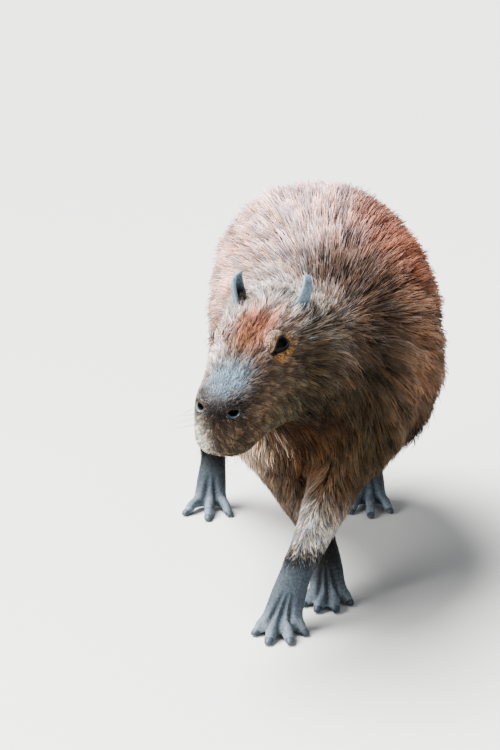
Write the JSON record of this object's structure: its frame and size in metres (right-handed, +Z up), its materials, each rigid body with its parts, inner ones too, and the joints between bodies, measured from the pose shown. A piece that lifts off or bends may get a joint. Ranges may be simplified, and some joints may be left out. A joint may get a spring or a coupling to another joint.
{
  "type": "capybara model",
  "caption": "Life-size still model of an adult capybara, walking and turning its head to its right, with a coarse coat.",
  "frame": {"origin": "on the floor under the middle of the animal's box", "axes": "+Z up, the animal faces -Y, its left side is at +X"},
  "size_m": [0.4459, 0.9623, 0.5881],
  "materials": {
    "torso_coat": "coarse reddish brown hair, grey-brown on the flanks",
    "neck_coat": "coarse olive-brown hair, orange-brown on the throat",
    "head_coat": "short olive-brown hair, reddish crown",
    "leg_coat": "short pale grey-brown hair",
    "foot_skin": "slate grey bare skin",
    "ear_skin": "slate blue-grey bare skin",
    "claw_horn": "dark horn",
    "eye": "wet, nearly black"
  },
  "bodies": {
    "root": {"ear_left": "ear_skin", "ear_right": "ear_skin", "eye_left": "eye", "eye_right": "eye", "front_left_claw_1": "claw_horn", "front_left_claw_2": "claw_horn", "front_left_claw_3": "claw_horn", "front_left_claw_4": "claw_horn", "front_left_foot": "foot_skin", "front_left_leg": "leg_coat", "front_right_claw_1": "claw_horn", "front_right_claw_2": "claw_horn", "front_right_claw_3": "claw_horn", "front_right_claw_4": "claw_horn", "front_right_foot": "foot_skin", "front_right_leg": "leg_coat", "head": "head_coat", "hind_left_claw_1": "claw_horn", "hind_left_claw_2": "claw_horn", "hind_left_claw_3": "claw_horn", "hind_left_foot": "foot_skin", "hind_left_leg": "leg_coat", "hind_right_claw_1": "claw_horn", "hind_right_claw_2": "claw_horn", "hind_right_claw_3": "claw_horn", "hind_right_foot": "foot_skin", "hind_right_leg": "leg_coat", "neck": "neck_coat", "torso": "torso_coat"}
  },
  "joints": []
}
